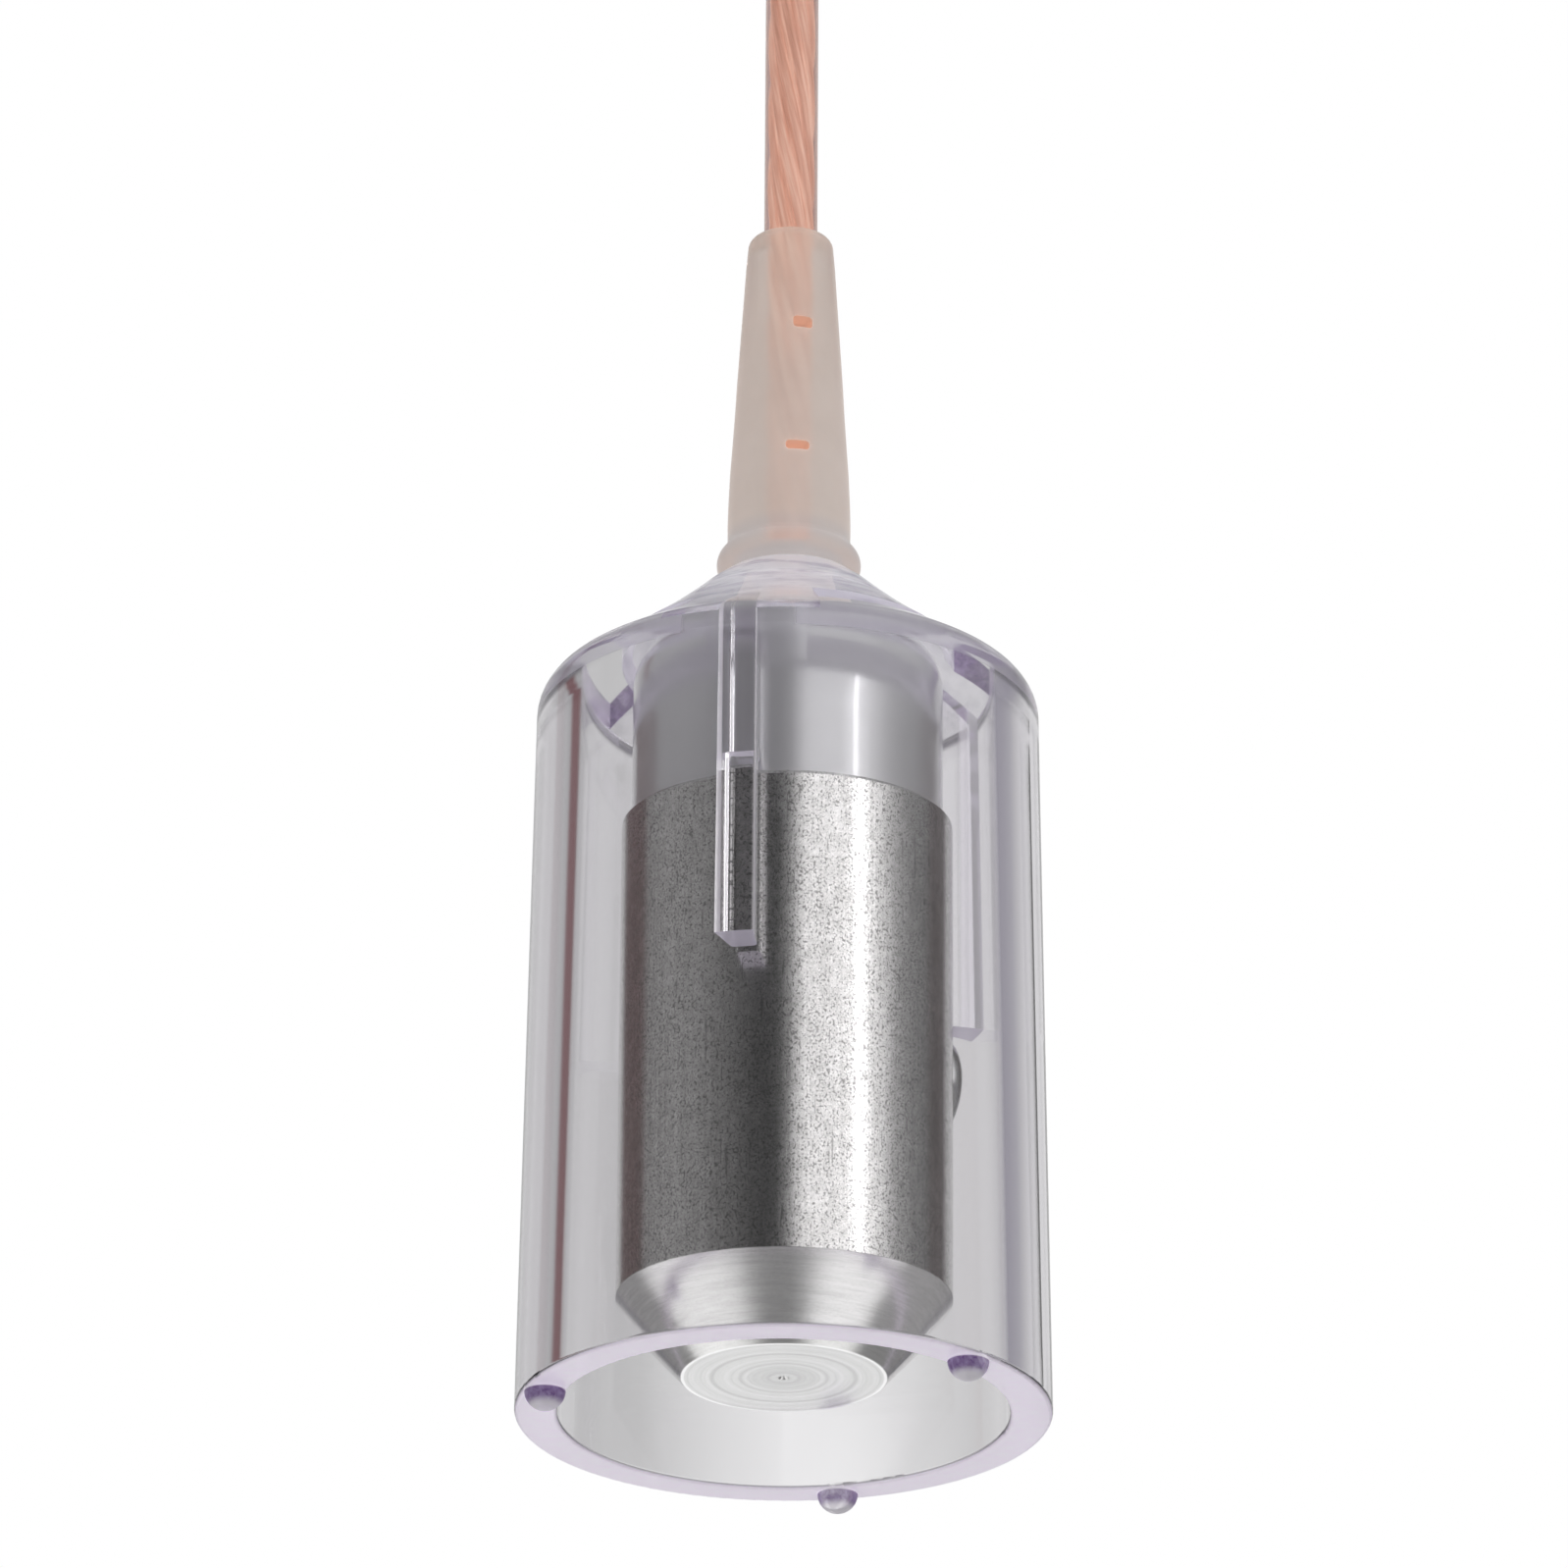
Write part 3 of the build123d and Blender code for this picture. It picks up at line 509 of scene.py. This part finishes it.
def sheath_material():
    m, k, p, out = material("clear_sheath")
    p.inputs["Base Color"].default_value = (1.0, 0.95, 0.93, 1.0)
    p.inputs["Roughness"].default_value = 0.14
    p.inputs["IOR"].default_value = 1.50
    p.inputs["Transmission Weight"].default_value = 1.0
    o = k.coords()
    bump = k.bump(k.noise(k.scaled(o, (1, 1, 0.1)), 1200.0, 2.0), 0.15, 0.00002)
    k.link(bump, p.inputs["Normal"])
    milk_with_painted_glow = k.add("ShaderNodeBsdfPrincipled")
    c = k.ramp(k.noise(k.scaled(o, (1, 1, 0.3)), 900.0, 3.0), [(0.3, (0.80, 0.56, 0.47)), (0.7, (0.88, 0.64, 0.55))])
    k.link(c, milk_with_painted_glow.inputs["Base Color"])
    milk_with_painted_glow.inputs["Roughness"].default_value = 0.3
    # painted glow: the milky layer is given emission
    milk_with_painted_glow.inputs["Emission Color"].default_value = (0.20, 0.135, 0.115, 1.0)
    milk_with_painted_glow.inputs["Emission Strength"].default_value = 1.0
    mx = k.add("ShaderNodeMixShader")
    mx.inputs[0].default_value = 0.26
    k.link(p.outputs[0], mx.inputs[1])
    k.link(milk_with_painted_glow.outputs[0], mx.inputs[2])
    k.link(mx.outputs[0], out.inputs["Surface"])
    return m


def copper_material():
    m, k, p, out = material("bare_copper_wire")
    o = k.coords()
    # colour runs along the laid wires
    x, y, z = k.xyz(o)
    t = k.math("MULTIPLY", z, 2 * math.pi / LAY)
    co, si = k.math("COSINE", t), k.math("SINE", t)
    u = k.math("SUBTRACT", k.math("MULTIPLY", x, co), k.math("MULTIPLY", y, si))
    v = k.math("ADD", k.math("MULTIPLY", x, si), k.math("MULTIPLY", y, co))
    tone = k.noise(k.vec(u, v, k.math("MULTIPLY", z, 0.04)), 4200.0, 3.0, 0.65)
    c = k.ramp(tone, [(0.34, (0.80, 0.42, 0.29)), (0.50, (0.97, 0.60, 0.45)), (0.64, (1.0, 0.76, 0.63))])
    k.link(c, p.inputs["Base Color"])
    # painted glow: the wires are given emission that follows their colour
    k.link(k.ramp(tone, [(0.34, (0.16, 0.075, 0.05)), (0.50, (0.26, 0.14, 0.10)), (0.64, (0.42, 0.27, 0.21))]), p.inputs["Emission Color"])
    p.inputs["Metallic"].default_value = 0.45
    p.inputs["Roughness"].default_value = 0.42
    p.inputs["Emission Strength"].default_value = 1.0
    return m


def plain_metal(name, lo, hi, rough, scale=3000.0):
    m, k, p, out = material(name)
    o = k.coords()
    c = k.ramp(k.noise(o, scale, 3.0), [(0.3, lo), (0.7, hi)])
    k.link(c, p.inputs["Base Color"])
    p.inputs["Metallic"].default_value = 1.0
    p.inputs["Roughness"].default_value = rough
    k.link(k.bump(k.noise(o, scale * 2, 2.0), 0.15, 0.00003), p.inputs["Normal"])
    return m


def rubber_material():
    m, k, p, out = material("seal_rubber")
    o = k.coords()
    c = k.ramp(k.noise(o, 1500.0, 3.0), [(0.3, g(0.018)), (0.7, g(0.035))])
    k.link(c, p.inputs["Base Color"])
    p.inputs["Roughness"].default_value = 0.55
    k.link(k.bump(k.noise(o, 4000.0, 2.0), 0.3, 0.00003), p.inputs["Normal"])
    return m


def gland_material():
    m, k, p, out = material("moulded_gland_grey")
    o = k.coords()
    c = k.ramp(k.noise(o, 500.0, 3.0), [(0.3, (0.36, 0.37, 0.375)), (0.7, (0.42, 0.43, 0.435))])
    k.link(c, p.inputs["Base Color"])
    p.inputs["Roughness"].default_value = 0.45
    k.link(k.bump(k.noise(o, 3500.0, 3.0), 0.25, 0.00003), p.inputs["Normal"])
    return m


cup_mat = clear_cup_material()
steel_mat = steel_material()
holder_mat = holder_material()
boot_mat = boot_material()
sheath_mat = sheath_material()
copper_mat = copper_material()
screw_mat = plain_metal("bright_screw", g(0.55), g(0.68), 0.22)
tin_mat = plain_metal("tinned_sleeve", (0.62, 0.62, 0.60), (0.74, 0.74, 0.72), 0.35)
rubber_mat = rubber_material()
gland_mat = gland_material()


def dress(node, mat, smooth=True):
    o = nodes[node]
    o.data.materials.clear()
    o.data.materials.append(mat)
    return o


dress("protective_cup", cup_mat)
dress("electrode_body", steel_mat)
dress("clamp_screw", screw_mat)
dress("conductor_sleeve", tin_mat)
dress("holder_seal_ring", rubber_mat)
dress("wire_end_sleeve", tin_mat)
dress("gland_body", gland_mat)
dress("gland_face_ring", rubber_mat)
dress("gland_seal_insert", rubber_mat)
dress("gland_cap_nut", gland_mat)


# ---------------------------------------------------------------------------
# Turned and moulded pieces of revolution, finer than the CAD's facets
# ---------------------------------------------------------------------------
def mesh_object(name, verts, faces, mat, smooth=True, angle=None):
    me = bpy.data.meshes.new(name)
    me.from_pydata([tuple(v) for v in verts], [], faces)
    me.validate()
    bm = bmesh.new()
    bm.from_mesh(me)
    bmesh.ops.recalc_face_normals(bm, faces=bm.faces)
    bm.to_mesh(me)
    bm.free()
    if smooth:
        for p in me.polygons:
            p.use_smooth = angle is not None or len(p.vertices) <= 4
    if angle is not None:
        me.set_sharp_from_angle(angle=math.radians(angle))
    me.materials.append(mat)
    o = bpy.data.objects.new(name, me)
    scene.collection.objects.link(o)
    return o


def arc(cx, cz, r, a0, a1, n):
    return [
        (cx + r * math.cos(math.radians(a0 + (a1 - a0) * i / n)),
         cz + r * math.sin(math.radians(a0 + (a1 - a0) * i / n)))
        for i in range(n + 1)
    ]


def arc3(p, q, s, n):
    """Points on the circle through p, q, s, from p to s."""
    ax, ay, bx, by, cx, cy = *p, *q, *s
    d = 2 * (ax * (by - cy) + bx * (cy - ay) + cx * (ay - by))
    ux = ((ax**2 + ay**2) * (by - cy) + (bx**2 + by**2) * (cy - ay) + (cx**2 + cy**2) * (ay - by)) / d
    uy = ((ax**2 + ay**2) * (cx - bx) + (bx**2 + by**2) * (ax - cx) + (cx**2 + cy**2) * (bx - ax)) / d
    r = math.hypot(ax - ux, ay - uy)
    t = [math.atan2(v[1] - uy, v[0] - ux) for v in (p, q, s)]
    while t[1] < t[0] - math.pi:
        t[1] += 2 * math.pi
    while t[1] > t[0] + math.pi:
        t[1] -= 2 * math.pi
    while t[2] < t[1] - math.pi:
        t[2] += 2 * math.pi
    while t[2] > t[1] + math.pi:
        t[2] -= 2 * math.pi
    return [(ux + r * math.cos(t[0] + (t[2] - t[0]) * i / n), uy + r * math.sin(t[0] + (t[2] - t[0]) * i / n)) for i in range(n + 1)]


def revolve(name, profile, sides, mat, angle=28):
    """Closed profile of (radius, height above the rim) in mm, turned about Z.
    A profile whose ends lie on the axis is closed there."""
    pts = []
    for q in profile:
        if not pts or math.hypot(q[0] - pts[-1][0], q[1] - pts[-1][1]) > 1e-4:
            pts.append(q)
    verts, faces, rings = [], [], []
    for r, h in pts:
        z = RIM + h * MM
        if r < 1e-6:
            rings.append([len(verts)])
            verts.append((0.0, 0.0, z))
        else:
            rings.append(list(range(len(verts), len(verts) + sides)))
            for j in range(sides):
                a = 2 * math.pi * (j + 0.5) / sides
                verts.append((r * MM * math.sin(a), -r * MM * math.cos(a), z))
    n = len(rings)
    on_axis = pts[0][0] < 1e-6 and pts[-1][0] < 1e-6
    for i in range(n - 1 if on_axis else n):
        a, b = rings[i], rings[(i + 1) % n]
        for j in range(sides):
            k = (j + 1) % sides
            if len(a) == 1 and len(b) == 1:
                break
            if len(a) == 1:
                faces.append((a[0], b[k], b[j]))
            elif len(b) == 1:
                faces.append((a[j], a[k], b[0]))
            else:
                faces.append((a[j], a[k], b[k], b[j]))
    return mesh_object(name, verts, faces, mat, angle=angle)


holder = revolve(
    "holder_moulding",
    [(1.40, 24.75), (4.57, 24.75), (4.97, 25.15), (4.97, 27.3), (4.0, 27.3), (4.0, 28.7),
     (4.97, 28.7), (4.97, 31.25), (7.9, 31.25), (8.0, 31.35)]
    + arc(4.9643, 38.7, 3.0357, 0.0, 64.94, 16)
    + [(4.0, 43.55), (3.0, 43.55), (3.0, 45.72), (2.6, 45.72)]
    + arc(2.2, 46.6, 0.40, 0.0, 90.0, 6)
    + [(1.40, 47.0)],
    192,
    holder_mat,
)
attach(holder, "root")
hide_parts("insulating_holder")


def window_cutter(az, h, w, t):
    """Rounded prism through the boot's side down to the sheath."""
    a = math.radians(az)
    d = Vector((math.sin(a), -math.cos(a), 0.0))
    e = Vector((math.cos(a), math.sin(a), 0.0))
    c, loop = 0.2, []
    for sx, sz, a0 in ((1, 1, 0), (-1, 1, 90), (-1, -1, 180), (1, -1, 270)):
        for i in range(5):
            q = math.radians(a0 + 90 * i / 4)
            loop.append((sx * (w / 2 - c) + c * math.cos(q), sz * (t / 2 - c) + c * math.sin(q)))
    verts = []
    for depth in (1.40, 4.2):
        for x, y in loop:
            verts.append((d * depth + e * x) * MM + Vector((0, 0, RIM + (h + y) * MM)))
    n = len(loop)
    faces = [(i, (i + 1) % n, n + (i + 1) % n, n + i) for i in range(n)]
    faces += [tuple(reversed(range(n))), tuple(range(n, 2 * n))]
    return verts, faces


def make_boot():
    side = [(3.19, 47.75), (3.195, 48.8), (3.17, 49.9), (3.09, 51.75), (2.97, 53.5), (2.86, 55.2),
            (2.77, 56.9), (2.66, 58.6), (2.55, 60.3), (2.44, 62.0), (2.33, 63.7), (2.24, 64.75)]
    o = revolve(
        "boot_moulding",
        [(0.0, 46.95), (2.1, 46.95), (2.35, 46.88), (2.52, 46.65), (2.55, 46.45), (2.55, 45.70), (3.33, 45.70), (3.35, 45.75)]
        + arc3((3.35, 45.75), (3.74, 46.65), (3.30, 47.45), 12)[1:]
        + side
        + arc3((2.24, 64.75), (2.08, 65.17), (1.62, 65.35), 8)[1:]
        + [(1.42, 65.35), (1.42, 65.22), (0.0, 65.22)],
        128,
        boot_mat,
        angle=40,
    )
    v1, f1 = window_cutter(15.0, 59.5, 1.05, 0.70)
    v2, f2 = window_cutter(8.0, 52.2, 1.25, 0.55)
    k = len(v1)
    cutter = mesh_object("window_cutter", v1 + v2, f1 + [tuple(a + k for a in f) for f in f2], boot_mat, smooth=False)
    b = o.modifiers.new("windows", "BOOLEAN")
    b.operation = "DIFFERENCE"
    b.solver = "EXACT"
    b.object = cutter
    bpy.context.view_layer.update()
    cut = bpy.data.meshes.new_from_object(o.evaluated_get(bpy.context.evaluated_depsgraph_get()))
    o.modifiers.clear()
    o.data = cut
    cut.set_sharp_from_angle(angle=math.radians(40))
    bpy.data.objects.remove(cutter)
    return o


boot = make_boot()
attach(boot, "root")
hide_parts("strain_relief_boot")


# ---------------------------------------------------------------------------
# Cable
# ---------------------------------------------------------------------------
def straight_route(name, z0, z1, n, bevel=None):
    c = bpy.data.curves.new(name, "CURVE")
    c.dimensions = "3D"
    s = c.splines.new("NURBS")
    s.points.add(n - 1)
    for i in range(n):
        s.points[i].co = (0.0, 0.0, z0 + (z1 - z0) * i / (n - 1), 1.0)
    s.order_u = 3
    s.use_endpoint_u = True
    c.resolution_u = 12
    if bevel:
        c.bevel_depth = bevel
        c.bevel_resolution = 12
        c.use_fill_caps = True
    o = bpy.data.objects.new(name, c)
    scene.collection.objects.link(o)
    return o


def route_points(name, z0, z1, n):
    o = straight_route(name, z0, z1, n)
    bpy.context.view_layer.update()
    me = bpy.data.meshes.new_from_object(o.evaluated_get(bpy.context.evaluated_depsgraph_get()))
    pts = [v.co.copy() for v in me.vertices]
    bpy.data.meshes.remove(me)
    bpy.data.objects.remove(o)
    return pts


def tube(points, r, sides):
    """Closed tube mesh along points, as vertices and faces."""
    verts, faces = [], []
    n = len(points)
    for i, p in enumerate(points):
        a = points[max(0, i - 1)]
        b = points[min(n - 1, i + 1)]
        t = (b - a).normalized()
        u = t.cross(Vector((0, 1, 0)) if abs(t.y) < 0.9 else Vector((1, 0, 0))).normalized()
        v = t.cross(u)
        for j in range(sides):
            q = 2 * math.pi * j / sides
            verts.append(p + u * (r * math.cos(q)) + v * (r * math.sin(q)))
    for i in range(n - 1):
        for j in range(sides):
            k = (j + 1) % sides
            faces.append((i * sides + j, i * sides + k, (i + 1) * sides + k, (i + 1) * sides + j))
    faces.append(tuple(reversed(range(sides))))
    faces.append(tuple((n - 1) * sides + j for j in range(sides)))
    return verts, faces


def strands(name, points, lay, wire_r, phase, mat):
    """Seven laid wires along a line of points."""
    verts, faces = [], []
    centre = [points[0].lerp(points[-1], i / 240.0) for i in range(241)]
    paths = [centre]
    for w in range(6):
        path = []
        for p in centre:
            q = phase + 2 * math.pi * w / 6.0 - 2 * math.pi * p.z / lay
            path.append(p + Vector((2 * wire_r * math.cos(q), 2 * wire_r * math.sin(q), 0.0)))
        paths.append(path)
    for i, path in enumerate(paths):
        v, f = tube(path, wire_r * (2.35 if i == 0 else 0.995), 24 if i == 0 else 14)
        k = len(verts)
        verts += v
        faces += [tuple(a + k for a in x) for x in f]
    return mesh_object(name, verts, faces, mat)


route = route_points("route_probe", BOOT_TOP, SHEATH_TOP, 5)
sheath = straight_route("cable_free_sheath", BOOT_TOP, SHEATH_TOP, 5, 1.40 * MM)
sheath.data.materials.append(sheath_mat)
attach(sheath, "root")
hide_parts("cable_sheath")

low = [Vector((0, 0, RIM + 14.3 * MM)), route[0]]
wires = strands("cable_wires", [low[0], Vector((0, 0, 20.3 * MM))], LAY, 0.26 * MM, 0.3, copper_mat)
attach(wires, "root")
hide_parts("cable_conductor")


# ---------------------------------------------------------------------------
# Floor
# ---------------------------------------------------------------------------
def make_floor():
    me = bpy.data.meshes.new("floor")
    s, z = 6.0, -0.62
    me.from_pydata([(-s, -s, z), (s, -s, z), (s, s, z), (-s, s, z)], [], [(0, 1, 2, 3)])
    m, k, p, out = material("pale_floor")
    o = k.coords()
    c = k.ramp(k.noise(o, 6.0, 3.0), [(0.3, g(0.42)), (0.7, g(0.44))])
    k.link(c, p.inputs["Base Color"])
    p.inputs["Roughness"].default_value = 0.9
    me.materials.append(m)
    f = bpy.data.objects.new("floor", me)
    scene.collection.objects.link(f)


make_floor()


def area(name, loc, target, size, power, color=(1, 1, 1)):
    l = bpy.data.lights.new(name, "AREA")
    l.shape = "RECTANGLE"
    l.size, l.size_y = size
    l.energy = power
    l.color = color
    o = bpy.data.objects.new(name, l)
    scene.collection.objects.link(o)
    d = (Vector(target) - Vector(loc)).normalized()
    o.location = loc
    o.rotation_euler = d.to_track_quat("-Z", "Y").to_euler()
    o.visible_camera = False
    return o


def pool(name, x, y, power, spread, blend=0.9):
    """Soft round pool of light on the floor."""
    l = bpy.data.lights.new(name, "SPOT")
    l.energy = power
    l.spot_size = math.radians(spread)
    l.spot_blend = blend
    l.shadow_soft_size = 0.08
    o = bpy.data.objects.new(name, l)
    scene.collection.objects.link(o)
    o.location = (x, y, 0.45)
    return o


pool("floor_left", -0.59, 0.10, 74.0, 56.0, 0.45)
pool("floor_right", 0.42, -0.12, 72.0, 35.0, 0.50)
pool("floor_back", -0.28, 1.50, 86.0, 80.0, 0.6)

scene.view_settings.view_transform = "Standard"

bpy.context.view_layer.update()
